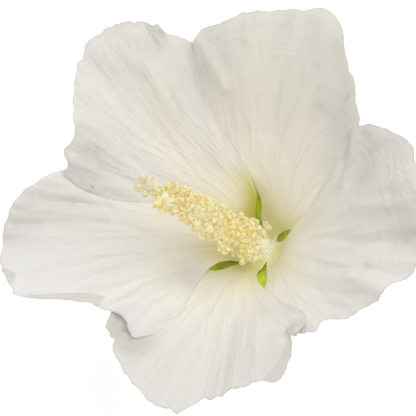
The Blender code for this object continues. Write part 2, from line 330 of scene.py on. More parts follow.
def sectionTable():
    # lengths, radii, heights and angles of the section: radius and height add up its sine and cosine
    step = 0.25
    s = np.arange(section["at"][0], section["at"][-1] + step, step)
    angle = np.radians(blurred(np.interp(s, section["at"], section["angle"]), 6))
    middle = (angle[1:] + angle[:-1]) / 2
    radius = np.concatenate([[0], np.cumsum(np.sin(middle)) * step])
    height = np.concatenate([[0], np.cumsum(np.cos(middle)) * step])
    radius += section["clawRadius"] - np.interp(0, s, radius)
    height += section["clawHeight"] - np.interp(0, s, height)
    return s, radius, height, angle


def throatTable():
    # the same section with its first millimetres drawn in to the column, where the petals join it
    s, radius, height, _ = cupTable
    at, innerRadius, innerHeight = np.array(section["throat"], float).T
    radius = blurred(np.where(s < at[-1], np.interp(s, at, innerRadius), radius), 3)
    height = blurred(np.where(s < at[-1], np.interp(s, at, innerHeight), height), 3)
    return s, radius, height, np.arctan2(np.gradient(radius), np.gradient(height))


cupTable = sectionTable()
table = throatTable()
drawnIn = smooth(table[0], *section["drawnIn"])
calyxTable = [drawnIn * new + (1 - drawnIn) * old for old, new in zip(cupTable, table)]


def corollaPoint(azimuth, s, lift, line=table):
    # a point at a length s along the section and an azimuth round it, raised along the section's normal
    angle = np.interp(s, line[0], line[3])
    radius = np.interp(s, line[0], line[1]) - lift * np.cos(angle)
    height = np.interp(s, line[0], line[2]) + lift * np.sin(angle)
    a = np.radians(azimuth)
    return np.stack([radius * np.cos(a), radius * np.sin(a), height], -1)


# Waves of the whole corolla: crests round the flower, height in mm, phase, and the lengths where
# they start and are full
crown = [
    (5, 1.4, 0, 20, 58),
    (9, 0.8, 200, 20, 58),
    (13, 1.0, 75, 20, 58),
    (23, 0.25, 10, 30, 56),
    (38, 0.18, 140, 36, 56),
]


def crownWave(azimuth, s):
    total = 0.0
    for crests, height, phase, start, full in crown:
        total = total + height * np.cos(np.radians(crests * azimuth + phase)) * smooth(s, start, full)
    return total


# Where petals overlap, one side of each lies a step higher than the other
layers = {"steps": [(8, 18, 0.5), (18, 30, 0.35)], "blend": (0.32, 0.68)}

# One petal each. Its two sides are (length along the petal, azimuth), its rim is (azimuth, length) and
# a fold is (azimuth, length) of both ends, its half width and its height, all in mm and degrees.
# Strips of painted shade along the rim, where it rolls over, are from and to azimuth, width and strength.
# Wrinkles, and patches of painted shade (painted light where the strength is negative), are azimuth,
# length, size and strength. The last three give both sides: a green tint beside the slits, partly the
# claws' own green and partly painted shade and painted green light from the calyx; painted shade over the
# blade; and a creamier tint, painted warm light that passes through and between the petals.
petals = {
    "petal_left": {
        "layer": (-1, 1),
        "low": [(0, 0.3), (6, 1), (11, 7), (24, -12)],
        "high": [
            (0, 71.7), (7, 72), (8.6, 70.3), (11, 63.6), (14.4, 62.8), (17.4, 66.8), (23.5, 79.5),
            (28, 84.6), (31, 85.6), (32.3, 83.2), (33.6, 85), (36.5, 86),
        ],
        "rim": [
            (-12, 36), (-2, 46), (10, 49.5), (13, 52.3), (17, 54.5), (19, 56.6), (23, 58.5), (28, 60.2),
            (32, 60.7), (35, 61.5), (39, 61.5), (43, 59.5), (47, 58.5), (50, 54.9), (54, 48.6),
            (59, 43.5), (66, 40.6), (68.5, 39.5), (72, 39.3), (76.7, 40.5), (80, 40.6), (82, 38.7),
            (84.3, 36.2), (86, 34.3),
        ],
        "folds": [
            ((49, 54), (59, 44), 1.6, 0.4), ((27.8, 59), (25.4, 38), 0.7, -0.6),
            ((24.5, 58), (20, 46), 0.7, -0.6), ((21.5, 57), (18.5, 38), 0.9, -0.6),
            ((23, 58), (22.5, 50), 0.8, 0.5), ((30, 60), (32, 50), 1.5, 0.4),
            ((17, 54), (16, 46), 0.7, -0.5), ((29.5, 61), (27.5, 53), 0.7, -0.5),
            ((32, 61), (30, 52), 0.7, -0.4), ((15, 52), (17, 42), 1.2, 0.4),
            ((80, 40), (85, 35.5), 1.5, -0.1), ((66, 40), (70, 30), 2.2, 0.5),
            ((68, 40), (78, 40.5), 1.4, -0.55),
        ],
        "rolledRimShades": [(49, 61, 4.2, 0.95), (38.5, 44, 2.2, 1.1), (60, 72, 0.5, 0.3)],
        "wrinkles": [(20, 55, 9, 1.6), (45, 58, 6, 1.0), (82, 38, 5, 1.0)],
        "shadePatches": [
            (14, 52, 4, 0.3), (24, 57, 6, 0.65), (19, 44, 5, 0.3), (30, 60, 3, 0.5), (22, 49, 4, 0.3),
            (74, 21, 3.5, 1.1), (62, 22.5, 4.5, 0.9), (55, 18, 3, 0.4), (60, 27, 4, 0.5),
        ],
        "olive": (0.4, 0.42),
        "tone": (0.15, 0.05),
        "warmth": (0.4, 0.1),
    },
    "petal_lower": {
        "layer": (-1, 1),
        "low": [(0, 72.3), (7, 72.6), (9, 74), (11, 74), (13.9, 73.5), (15.8, 71), (18, 64), (24, 60)],
        "high": [
            (0, 139.6), (4.5, 134.6), (6.5, 128), (9.4, 122), (13.2, 129.2), (16.2, 135.2), (18.6, 141),
            (22.4, 150), (26.7, 155), (31.4, 161), (35, 163),
        ],
        "rim": [
            (60, 37.5), (63, 40), (65.4, 41), (67, 42.2), (69.3, 43.3), (72.9, 43.8), (74.7, 43.2),
            (77.3, 44.8), (82.7, 46.2), (89.7, 47.7), (97.7, 49.4), (103.6, 49.9), (105.7, 49.8),
            (108.8, 50.6), (111.4, 48.2), (115, 45.6), (123.5, 45.6), (130.5, 45.7), (138.7, 46.4),
            (142.3, 46.7), (145.7, 44.7), (149.3, 41.6), (151.4, 38.6), (152.6, 37.2), (154.5, 38.6),
            (157.6, 39.2), (160, 37.5), (163, 33.6),
        ],
        "folds": [
            ((143, 47), (152, 38), 2.0, -1.2), ((153.5, 37.5), (158, 38.5), 1.0, 0.9),
            ((153, 34.5), (158, 35.5), 1.2, -0.5), ((137, 43), (141, 30), 1.6, 0.5),
            ((66, 41), (70, 43), 1.0, 0.7), ((73, 43.5), (75, 40), 0.9, -0.3),
            ((92, 46), (95, 36), 1.2, -0.3), ((112, 46), (110, 30), 1.0, -0.35),
            ((125, 45), (120, 28), 1.0, -0.35),
        ],
        "rolledRimShades": [
            (139, 153, 3.4, 0.45), (139, 153, 1.6, 0.4), (62, 74, 0.8, 0.3), (153, 158.5, 0.6, 0.7),
        ],
        "wrinkles": [(155, 38, 6, 1.6), (72, 42, 4, 1.2)],
        "shadePatches": [
            (146, 42, 5, 0.4), (67, 41, 2.5, 0.1), (155.5, 36, 1.8, 0.7), (75, 15, 3.5, 0.55),
            (90, 10.5, 3.5, 0.5), (79, 18.5, 3.5, 0.6), (82, 22.5, 3.5, 0.55), (97, 15.5, 3.5, 0.35),
            (80.5, 41.8, 2.8, 1.1), (85, 39, 2.5, 0.6), (75, 42.2, 2.5, 0.6), (70, 42, 2.5, 0.7),
        ],
        "olive": (1.5, 0.35),
        "tone": (0.5, 0.6),
        "warmth": (0.1, 0.1),
    },
    "petal_right": {
        "layer": (-1, 1),
        "low": [
            (0, 140.2), (4.5, 135.2), (7, 136), (9.5, 140), (12.8, 144.2), (16.5, 144), (18.2, 140.2),
            (24, 134),
        ],
        "high": [
            (0, 231), (3.2, 233), (6.4, 220.5), (12, 214.5), (14.9, 216.5), (16, 218.5), (20, 224),
            (27.4, 234), (34.8, 239), (39.1, 241), (43, 246),
        ],
        "rim": [
            (134, 26), (146, 33), (158, 38.3), (163, 39.8), (167, 38.9), (170, 39.5), (173, 43.4),
            (179, 45.1), (183, 48.3), (189, 50.4), (193, 53.9), (196, 54.5), (205, 55.3), (213, 55.8),
            (221, 55.5), (225, 54.8), (230, 53.2), (237, 49.5), (242, 47), (246, 42),
        ],
        "folds": [
            ((245.5, 43), (226.5, 36.5), 1.4, 1.0), ((241, 44.5), (224, 40), 2.4, -0.6),
            ((202.9, 22), (201.1, 36), 0.8, -0.35), ((201.1, 36), (202.3, 50), 1.0, -0.6),
            ((202, 47), (203.5, 55), 1.7, -0.9), ((185.6, 28), (191.7, 42.3), 0.9, -0.5),
            ((191.7, 42.3), (191.8, 52), 0.9, -0.5), ((175, 31), (182.3, 43), 0.9, -0.5),
            ((168, 31), (175.5, 41), 1.0, -0.5), ((214, 40), (211, 53), 1.5, 0.5),
            ((196, 54), (195, 44), 1.5, 0.5), ((187, 48), (186, 40), 1.4, 0.5),
        ],
        "rolledRimShades": [(203, 211, 1.6, 0.5)],
        "wrinkles": [(220, 52, 12, 1.6), (200, 52, 8, 0.8), (172, 42, 6, 1.2)],
        "shadePatches": [
            (239, 35, 3, -0.7), (240, 43, 4.5, 0.8), (231, 41, 4.5, 0.7), (223, 42, 4, 0.5),
            (228, 51, 7, 0.6), (204, 53, 4, 0.7), (212, 50, 6, 0.3),
        ],
        "olive": (0.1, 0.3),
        "tone": (0.4, 0.6),
        "warmth": (0.2, 0.5),
    },
    "petal_upper_right": {
        "layer": (-1, -1),
        "low": [(0, 231.5), (3.2, 233.5), (6.6, 241.5), (12, 227), (14, 223), (16, 218), (21, 208)],
        "high": [
            (0, 292), (5, 298), (8, 301.5), (11.4, 291.8), (13.1, 289.2), (15.6, 291.4), (18, 300),
            (24, 326),
        ],
        "rim": [
            (208, 26), (220, 34), (232, 39.6), (243, 43.4), (252, 46.6), (259, 50), (263, 53.2),
            (265, 55.6), (267, 57.6), (270, 58.8), (273, 59), (276, 58.9), (279, 57.4), (288, 56),
            (295, 54.8), (301, 53.2), (306, 53), (309, 53.4), (312, 51.5), (318, 47), (326, 42),
        ],
        "folds": [
            ((311.5, 51), (303.5, 40), 1.6, 1.0), ((276, 54), (286, 30), 1.6, -0.4),
            ((271, 57), (266, 46), 1.8, 0.6), ((268, 47), (277, 30), 1.5, -0.45),
            ((262, 53), (244, 43.5), 1.4, -0.35), ((266, 54), (262, 42), 2.0, 0.5),
            ((291, 55), (294, 50), 1.4, 0.6), ((262, 40), (268, 26), 1.3, -0.35),
        ],
        "rolledRimShades": [(240, 266, 2.6, 0.45)],
        "wrinkles": [(282, 57, 8, 1.0), (305, 50, 7, 0.8)],
        "shadePatches": [
            (250, 42.5, 5, 1.1), (263, 54, 4.5, 0.6), (255, 48, 7, 0.3), (241, 34, 4, 0.4),
            (313, 44, 3, 0.4),
        ],
        "olive": (0.7, 0.55),
        "tone": (0.68, 0.8),
        "warmth": (1.0, 1.2),
    },
    "petal_upper_left": {
        "layer": (1, 1),
        "low": [
            (0, 292.5), (5, 298.5), (7, 306), (9, 311), (13, 298.4), (15.6, 291.5), (19, 295),
            (23.5, 302), (30.3, 309), (35.9, 313), (41.7, 314), (47.6, 313), (70, 312),
        ],
        "high": [
            (0, 359.7), (6, 359), (10, 354), (13, 354), (29.9, 371), (35.9, 375), (39.7, 376),
            (43.8, 375),
        ],
        "rim": [
            (312, 50.5), (316, 53.2), (318.4, 54.4), (319.4, 57.4), (321, 57.2), (322, 58.4),
            (325, 59.6), (330, 61.5), (334, 61.5), (338, 62), (343, 60), (349, 56.1), (355, 52),
            (359, 50.3), (364, 51), (366, 50.8), (368, 49.2), (372, 49), (375, 44.5),
        ],
        "folds": [
            ((319, 55), (321.5, 58), 1.0, 1.3), ((323.5, 53), (326, 59.5), 1.0, -0.7),
            ((333, 57), (328, 49), 1.8, 0.6), ((366, 50), (362, 45), 1.6, -0.8),
            ((373, 43), (369, 37), 1.5, 0.7), ((356, 52), (352, 46), 1.6, 0.7),
            ((338, 60), (334, 52), 2.6, 0.8),
        ],
        "rolledRimShades": [(361, 377, 1.4, 0.35), (323, 331, 1.0, 0.3)],
        "wrinkles": [(328, 58, 8, 1.4), (370, 43, 9, 1.6), (352, 52, 6, 0.8)],
        "shadePatches": [
            (358, 48, 7, 0.35), (371, 45, 6, 0.7), (313, 47, 5, 0.4), (323, 54, 3, 0.4),
            (330, 24, 6, 0.3),
        ],
        "olive": (1.4, 0.45),
        "tone": (0.6, 0.12),
        "warmth": (1.0, 0.6),
    },
}
petalGrid = {"across": 176, "along": 156, "thickness": 0.34, "edgeThickness": 0.13}

# Heights in mm of the small relief, how far and how deep the sides bend down to the next petal, and
# how dark and how wide the line along the rim is
pleats = {
    "depth": 0.015,
    "swell": 0.3,
    "crease": 0.12,
    "ruffle": 0.28,
    "crinkle": 0.06,
    "scallop": 0.3,
    "edgeBend": (1.5, 2.8),
    "rimShade": (0.5, 0.35),
}


def sideLine(spec, side):
    # the azimuth of one side of a petal by length along it
    s = np.arange(0.0, 71.0, 0.25)
    lengths, azimuths = np.array(spec[side], float).T
    return s, blurred(np.interp(s, lengths, azimuths), 4)


def rimLine(spec):
    # a petal's length by its place across, from the rim's azimuths
    azimuths, lengths = np.array(spec["rim"], float).T
    across = np.linspace(0, 1, 401)
    place = (azimuths - azimuths[0]) / (azimuths[-1] - azimuths[0])
    return across, blurred(np.interp(across, place, lengths), 2)


def foldLift(azimuth, s, folds):
    # ridges along short lines: height * exp(-(distance / width) squared), on the unrolled surface
    radius = np.interp(s, table[0], table[1])
    total = np.zeros_like(s)
    for (a0, s0), (a1, s1), width, height in folds:
        middle = np.radians((a0 + a1) / 2)
        x, x0, x1 = (radius * (np.radians(a) - middle) for a in (azimuth, a0, a1))
        along = ((x - x0) * (x1 - x0) + (s - s0) * (s1 - s0)) / ((x1 - x0) ** 2 + (s1 - s0) ** 2)
        along = np.clip(along, 0, 1)
        away = np.hypot(x - x0 - along * (x1 - x0), s - s0 - along * (s1 - s0))
        total = total + height * np.exp(-((away / width) ** 2))
    return total


def patches(azimuth, s, places):
    # the sum of strength * exp(-(distance / size) squared) from each place, on the unrolled surface
    total = np.zeros_like(s)
    for a0, s0, size, strength in places:
        across = np.interp(s, table[0], table[1]) * np.radians(azimuth - a0)
        total = total + strength * np.exp(-((across ** 2 + (s - s0) ** 2) / size ** 2))
    return total


def hemShade(azimuth, fromRim, rolledRimShades):
    # painted shade in strips along the rim, where it rolls over: each widens from its two azimuths to its
    # middle
    total = np.zeros_like(fromRim)
    for start, end, width, strength in rolledRimShades:
        across = np.clip((azimuth - start) / (end - start), 0, 1)
        profile = width * np.sqrt(np.sin(np.pi * across))
        total = total + strength * smooth(profile - fromRim, -0.3, 0.3) * smooth(profile, 0, 0.3)
    return total


def veinOffset(u, s, seed):
    # how far a point is from the nearest vein, in parts of the gap between main veins:
    # each main vein forks twice on its way to the rim
    wander = 0.16 * valueNoise(u * 9 + 3, s * 0.07, seed)
    cell = (u * petalLook["mainVeins"] + wander) % 1.0 - 0.5
    first = np.abs(cell) - 0.25 * smooth(s, 12, 44)
    return np.abs(np.abs(first) - 0.11 * smooth(s, 28, 58))


def bothSides(width, u, reach):
    # 1 on one side of a petal, then on the other: exp(-(distance / reach) squared)
    return [np.exp(-((width * side / reach) ** 2)) for side in (u, 1 - u)]


def petalSurface(spec, u, v, seed):
    # a petal's middle surface: lengths and azimuths from its outline, raised by its layer, the crown's
    # waves, its own folds, fine ruffles towards the rim and the quilting between its veins
    rim = np.interp(u, *rimLine(spec))
    scallop = valueNoise(u * 34, 0 * u, seed + 2) + 0.6 * valueNoise(u * 80, 0 * u, seed + 3)
    s = v * (rim + pleats["scallop"] * scallop * smooth(u, 0, 0.03) * smooth(1 - u, 0, 0.03))
    low = np.interp(s, *sideLine(spec, "low"))
    high = np.interp(s, *sideLine(spec, "high"))
    azimuth = low + u * (high - low)
    layer = spec["layer"][0] + (spec["layer"][1] - spec["layer"][0]) * smooth(u, *layers["blend"])
    lift = layer * sum(height * smooth(s, start, end) for start, end, height in layers["steps"])
    width = np.interp(s, table[0], table[1]) * np.radians(high - low)
    bend, reach = pleats["edgeBend"]
    nearLow, nearHigh = bothSides(width, u, reach)
    bent = spec["layer"][0] * nearLow + spec["layer"][1] * nearHigh
    lift = lift - bend * bent * smooth(s, 16, 28)
    lift = lift + crownWave(azimuth, s) + foldLift(azimuth, s, spec["folds"])
    across = np.interp(s, table[0], table[1]) * np.radians(azimuth)
    turn = azimuth * 128 / 360
    ruffle = valueNoise(turn, s * 0.05 + turn / 2, 5) + 0.6 * valueNoise(turn * 2, s * 0.11 - turn / 2, 6)
    crease = valueNoise(turn, s * 0.10 + turn / 2, 7) + 0.5 * valueNoise(turn * 2, s * 0.22 - turn / 2, 8)
    crinkle = valueNoise(across * 0.53 + s * 0.40 + 200, s * 0.36 - across * 0.27 + 200, 9)
    finer = valueNoise(across * 0.95 - s * 0.70 + 300, s * 0.95 + across * 0.70 + 200, 4)
    swell = valueNoise(turn / 2, s * 0.06 + turn / 2, 3)
    lift = lift + pleats["ruffle"] * ruffle * smooth(v, 0.72, 1.0)
    lift = lift + pleats["swell"] * swell * smooth(s, 18, 40)
    lift = lift + pleats["crease"] * crease * smooth(s, 20, 45)
    wrinkled = smooth(s, 16, 45) + patches(azimuth, s, spec["wrinkles"])
    lift = lift + pleats["crinkle"] * (crinkle + 0.5 * finer) * wrinkled
    veins = np.exp(-((veinOffset(u, s, seed) / 0.06) ** 2))
    lift = lift - pleats["depth"] * veins * smooth(s, 10, 22)
    return corollaPoint(azimuth, s, lift), azimuth, s, width


def makePetal(name, spec, seed, finish):
    u = np.linspace(0, 1, petalGrid["across"])[:, None]
    v = np.linspace(0, 1, petalGrid["along"])[None, :]
    u, v = np.broadcast_arrays(u, v)
    points, azimuth, s, width = petalSurface(spec, u, v, seed)
    thin = np.minimum(smooth(u, 0, 0.04), smooth(1 - u, 0, 0.04)) * smooth(1 - v, 0, 0.05)
    middle, edge = petalGrid["thickness"], petalGrid["edgeThickness"]
    thickness = edge + (middle - edge) * thin
    # a green tint beside the slits: partly the claws' own green, partly painted shade and painted green
    # light from the calyx
    nearLow, nearHigh = bothSides(width, u, petalLook["oliveReach"])
    olive = (spec["olive"][0] * nearLow + spec["olive"][1] * nearHigh) * (1 - smooth(s, 15, 26))
    # across the blade: a grey amount that is painted shade, and a creamier tint that is painted warm
    # light
    across = smooth(u, 0.2, 0.7)
    tone, warmth = ((1 - across) * spec[key][0] + across * spec[key][1] for key in ("tone", "warmth"))
    edges = sum(bothSides(width, u, petalLook["paleReach"]))
    pale = edges * (1 - smooth(s, 3.5, 7.0)) + 1 - smooth(s, 0.8, 2.4)
    fromRim = np.interp(u, *rimLine(spec)) * (1 - v)
    # painted shade: the blade's grey amount, patches of it, strips where the rim rolls over and a dark
    # line along the rim
    grey = tone * smooth(s, 16, 40) + patches(azimuth, s, spec["shadePatches"])
    grey = grey + hemShade(azimuth, fromRim, spec["rolledRimShades"])
    shade, reach = pleats["rimShade"]
    grey = grey + shade * np.exp(-((fromRim / reach) ** 2))
    uv = np.stack([u, s / 70], -1).reshape(-1, 2)
    piece = newPiece(
        name.replace("petal_", "whitePetal_"),
        shell(points, thickness),
        {"petalMap": np.concatenate([uv, uv])},
        {
            "olive": np.tile(olive.ravel(), 2),
            "warmth": np.tile(warmth.ravel(), 2),
            "grey": np.tile(grey.ravel(), 2),
            "pale": np.tile(pale.ravel(), 2),
            "veinSeed": np.full(2 * olive.size, seed),
        },
    )
    finishPiece(piece, finish, name)


petalLook = {
    "colours": [
        (0.0, (0.93, 0.89, 0.48)),
        (0.11, (0.92, 0.89, 0.55)),
        (0.20, (0.92, 0.89, 0.69)),
        (0.31, (0.91, 0.89, 0.785)),
        (0.46, (0.89, 0.875, 0.83)),
        (0.64, (0.865, 0.855, 0.835)),
        (0.90, (0.855, 0.85, 0.845)),
    ],
    # the claws' own green with painted shade and painted green light from the calyx
    "olive": (0.62, 0.62, 0.12),
    "oliveReach": 3.2,
    # painted shade
    "grey": (0.66, 0.64, 0.59),
    "pale": (0.95, 0.94, 0.84),
    "paleReach": 0.7,
    # painted light: the glow of the petals' throats
    "throatGlow": (1.0, 0.93, 0.58),
    "glowStrength": 0.10,
    # painted warm light
    "paintedWarmColour": (0.925, 0.865, 0.735),
    "vein": (0.79, 0.63, 0.57),
    "veinStrength": 0.31,
    "mainVeins": 7,
}


def petalVeins(finish, across, along):
    # 1 on a vein: main veins fan out from the claw and fork twice, and fine ones net the rest
    uv = finish.stretched(across * 9.0, along * 5.0)
    wander = (finish.noise(1.0, 3.0, uv) - 0.5) * 0.55
    cell = (across * petalLook["mainVeins"] + wander + 9.5).maths("FRACT") - 0.5
    first = abs(cell) - along.rise(0.15, 0.62) * 0.25
    second = abs(first) - along.rise(0.38, 0.84) * 0.115
    third = abs(second) - along.rise(0.56, 1.0) * 0.055
    distance = abs(third) * (along * 13.3 + 0.9)
    strong = 1 - distance.rise(0.0, 0.55)
    net = {"Vector": finish.stretched(across * 60.0, along * 26.0), "Scale": 1.0}
    cells = finish.node("ShaderNodeTexVoronoi", {"feature": "DISTANCE_TO_EDGE"}, net)
    fine = 1 - cells.rise(0.01, 0.12)
    return strong * along.rise(0.10, 0.26), fine * along.rise(0.25, 0.5)


def petalFinish():
    finish = flesh("petalFlesh", 0.6, 0.25, 0.0008, (1.0, 0.95, 0.8))
    finish.shader.inputs["Sheen Weight"].default_value = 0.06
    uv = finish.node("ShaderNodeUVMap", {"uv_map": "petalMap"})
    across = finish.node("ShaderNodeSeparateXYZ", None, {"Vector": uv}, output=0)
    along = finish.node("ShaderNodeSeparateXYZ", None, {"Vector": uv}, output=1)
    cloud = finish.noise(140.0, 3.0)
    shade = finish.ramp(along + (cloud - 0.5) * 0.10, petalLook["colours"])
    # painted warm light: a creamier tint on the petals' warmer sides
    shade = finish.blend(finish.value("warmth") * 0.5, shade, petalLook["paintedWarmColour"])
    # a green tint beside the slits: partly the claws' own green, partly painted shade and painted green
    # light from the calyx
    shade = finish.blend(finish.value("olive") * 0.7, shade, petalLook["olive"])
    # painted shade: the petal is blended towards grey by its shade amount, mottled
    mottle = finish.noise(260.0, 3.0) * 0.3 + 0.85
    shade = finish.blend(finish.value("grey") * mottle * 0.7, shade, petalLook["grey"])
    strong, fine = petalVeins(finish, across, along)
    faint = finish.noise(90.0, 2.0).rise(0.3, 0.7) * 0.6 + 0.4
    inked = (strong + fine * 0.22) * faint * petalLook["veinStrength"]
    shade = finish.blend(inked * (1 - along.rise(0.50, 0.85) * 0.7), shade, petalLook["vein"])
    finish.set("Base Color", finish.blend(finish.value("pale"), shade, petalLook["pale"]))
    # painted light: each petal's throat glows a little, fading out along it, standing in for light
    # shining through the claws
    glow = finish.blend(along.rise(0.04, 0.20), petalLook["throatGlow"], (0.0, 0.0, 0.0))
    finish.glow(glow, petalLook["glowStrength"])
    wrinkle = finish.noise(1.0, 2.5, finish.stretched(across * 38.0, along * 12.0))
    cells = finish.noise(2600.0, 2.0)
    wrinkle = wrinkle * (along.rise(0.16, 0.55) * 0.8 + 0.2)
    finish.bump(wrinkle + cells * 0.06 - strong * 0.12 - fine * 0.06, 0.00030)
    return finish.material


def makePetals():
    finish = petalFinish()
    for seed, (name, spec) in enumerate(petals.items()):
        makePetal(name, spec, 20 + 10 * seed, finish)
    print("scene: petals made")


# The column leans from the flower's axis. Its outline is (radius, height) from its foot to its top
column = {
    "azimuth": 6.0,
    "lean": 14.0,
    "bendEnd": 12.0,
    "top": 40.0,
    "outline": [(2.4, -5), (3.0, -5), (3.1, -3), (2.9, -1.4), (2.2, -0.3), (1.4, 0.5), (1.0, 1.4),
                (0.9, 2.6), (0.95, 5), (1.1, 20), (1.1, 39.8), (0.95, 40), (0.75, 39.8), (0.65, 4),
                (0.8, 1), (2.2, -1.5), (2.4, -5)],
    "sides": 60,
}


def leanPoints(points):
    # carries upright points along the column's bent middle line
    at = np.linspace(0.0, 60.0, 241)
    lean = np.radians(column["lean"]) * smooth(at, 0.0, column["bendEnd"])
    middle = (lean[1:] + lean[:-1]) / 2
    step = at[1] - at[0]
    lineX = np.concatenate([[0], np.cumsum(np.sin(middle)) * step])
    lineZ = np.concatenate([[0], np.cumsum(np.cos(middle)) * step])
    z = points[..., 2]
    tilt = np.interp(z, at, lean)
    x = np.interp(z, at, lineX) + points[..., 0] * np.cos(tilt)
    height = np.where(z < 0, z, np.interp(z, at, lineZ)) - points[..., 0] * np.sin(tilt)
    bent = np.stack([x, points[..., 1], height], -1)
    return bent @ turnZ(column["azimuth"]).T


def leaned(shape):
    return leanPoints(shape[0]), shape[1]


def smoothLine(points, step, reach):
    # a line through the points at even steps along it, its corners rounded by a running mean
    points = np.array(points, float)
    length = np.concatenate([[0], np.cumsum(np.hypot(*np.diff(points, axis=0).T))])
    at = np.linspace(0, length[-1], int(length[-1] / step))
    return np.stack([blurred(np.interp(at, length, line), reach) for line in points.T], -1)[:-1]


def turnedPoints(outline, sides):
    # an outline of (radius, height) turned round the axis
    radius, height = np.array(outline, float).T
    a = np.linspace(0, 2 * np.pi, sides, endpoint=False)[:, None]
    height = np.broadcast_to(height, (sides, len(height)))
    return np.stack([radius * np.cos(a), radius * np.sin(a), height], -1)


def framesAlong(directions, spins):
    # turning matrices whose third axis follows each direction, spun round it
    z = directions / np.linalg.norm(directions, axis=1, keepdims=True)
    helper = np.where(np.abs(z[:, 2:3]) < 0.9, [[0.0, 0.0, 1.0]], [[1.0, 0.0, 0.0]])
    x = np.cross(helper, z)
    x /= np.linalg.norm(x, axis=1, keepdims=True)
    y = np.cross(z, x)
    c, s = np.cos(spins)[:, None], np.sin(spins)[:, None]
    return np.stack([x * c + y * s, y * c - x * s, z], -1)


def bentTube(start, end, rise, radius, around, along):
    # a thin round tube from start to end that bows by rise at its middle
    t = np.linspace(0, 1, along)[:, None]
    knee = (start + end) / 2 + np.array([0, 0, rise])
    line = (1 - t) ** 2 * start + 2 * t * (1 - t) * knee + t ** 2 * end
    a = np.linspace(0, 2 * np.pi, around, endpoint=False)
    ring = np.stack([np.cos(a), np.sin(a), 0 * a], -1) * radius
    return closedTube(line[None] + (ring @ framesAlong((end - start)[None], np.zeros(1))[0].T)[:, None])


def smallBall():
    # a ball of twenty faces and radius 1
    g = (1 + 5 ** 0.5) / 2
    corners = np.array([(-1, g, 0), (1, g, 0), (-1, -g, 0), (1, -g, 0), (0, -1, g), (0, 1, g),
                        (0, -1, -g), (0, 1, -g), (g, 0, -1), (g, 0, 1), (-g, 0, -1), (-g, 0, 1)], float)
    faces = np.array([(0, 11, 5), (0, 5, 1), (0, 1, 7), (0, 7, 10), (0, 10, 11), (1, 5, 9), (5, 11, 4),
                      (11, 10, 2), (10, 7, 6), (7, 1, 8), (3, 9, 4), (3, 4, 2), (3, 2, 6), (3, 6, 8),
                      (3, 8, 9), (4, 9, 5), (2, 4, 11), (6, 2, 10), (8, 6, 7), (9, 8, 1)])
    return corners / np.linalg.norm(corners[0]), [faces]


stamens = {
    "count": 420,
    "zone": (3.8, 39.6),
    "reach": (4.2, 2.9),
    "inward": 2.3,
    "clumps": 0.75,
    "longSide": {"azimuth": 92, "more": 0.35, "until": (8, 26)},
    "bareSide": {"azimuth": 190, "rise": 3.0, "until": (4, 14)},
    "scatter": {"height": 0.5, "azimuth": 14.0, "rise": 0.6},
    "rise": 0.4,
    "foot": 1.2,
    "goldenAngle": 137.5,
    "stubs": {
        "count": 36,
        "zone": (1.3, 4.2),
        "reach": (1.6, 2.5),
        "radius": (0.22, 0.4),
        "azimuth": 82,
        "more": 1.2,
    },
    "filament": 0.12,
    "bean": {"bend": 0.50, "tube": 0.36, "sweep": 210.0, "around": 11, "along": 12},
    "beanScale": (0.9, 1.25),
    "grains": 20,
    "grainSize": (0.085, 0.15),
    "lump": 0.10,
}


def antherBean():
    # a kidney-shaped bead: a round section carried along an arc, thinning to its ends
    bean = stamens["bean"]
    t = np.linspace(0, 1, bean["along"])[None, :]
    a = np.linspace(0, 2 * np.pi, bean["around"], endpoint=False)[:, None]
    turn = np.radians(bean["sweep"]) * (t - 0.5)
    wide = bean["tube"] * np.sqrt(np.sin(np.pi * np.clip(t, 0.06, 0.94)))
    radius = bean["bend"] + wide * np.cos(a)
    y = wide * np.sin(a) * 1.15
    z = radius * np.cos(turn) - bean["bend"] * 0.6
    return closedTube(np.stack([radius * np.sin(turn), y, z], -1))


def clumping(azimuth, z):
    # the anthers stand in loose clumps: -1 to 1 by their place on the column
    x, y = np.cos(azimuth) * 1.4 + z * 0.22, np.sin(azimuth) * 1.4 + z * 0.42
    return valueNoise(x + 10, y + 10, 12)


def stamenPlaces(draw):
    # feet on the column and heads round it: a spiral with a seeded scatter
    n = stamens["count"]
    t = (np.arange(n) + 0.5) / n
    jitter = {key: draw.uniform(-size, size, n) for key, size in stamens["scatter"].items()}
    z = stamens["zone"][0] + (stamens["zone"][1] - stamens["zone"][0]) * t + jitter["height"]
    azimuth = np.radians(np.arange(n) * stamens["goldenAngle"] + jitter["azimuth"])
    reach = stamens["reach"][0] + (stamens["reach"][1] - stamens["reach"][0]) * t
    reach -= stamens["inward"] * draw.uniform(0, 1, n) ** 1.5
    reach += stamens["clumps"] * clumping(azimuth, z)
    longSide, bareSide = stamens["longSide"], stamens["bareSide"]
    longer, bare = (
        np.maximum(0, np.cos(azimuth - np.radians(side["azimuth"]))) * (1 - smooth(z, *side["until"]))
        for side in (longSide, bareSide)
    )
    reach *= 1 + longSide["more"] * longer
    z = z + bareSide["rise"] * bare
    out = np.stack([np.cos(azimuth), np.sin(azimuth), 0 * azimuth], -1)
    foot = out * stamens["foot"] + np.stack([0 * z, 0 * z, z], -1)
    head = out * reach[:, None] + np.stack([0 * z, 0 * z, z + stamens["rise"] + jitter["rise"]], -1)
    return foot, head


def makeColumn(finish):
    tube = turnedPoints(smoothLine(column["outline"], 0.3, 1), column["sides"])
    azimuth = np.arctan2(tube[..., 1], tube[..., 0])
    ribs = 1 + 0.02 * np.cos(azimuth * 10) * smooth(tube[..., 2], 0, 3)
    tube[..., :2] *= ribs[..., None]
    shape = closedRing(tube)
    piece = newPiece("stamenTube", leaned(shape), None, {"cream": smooth(shape[0][:, 2], 5, 9)})
    finishPiece(piece, finish, "staminal_column")


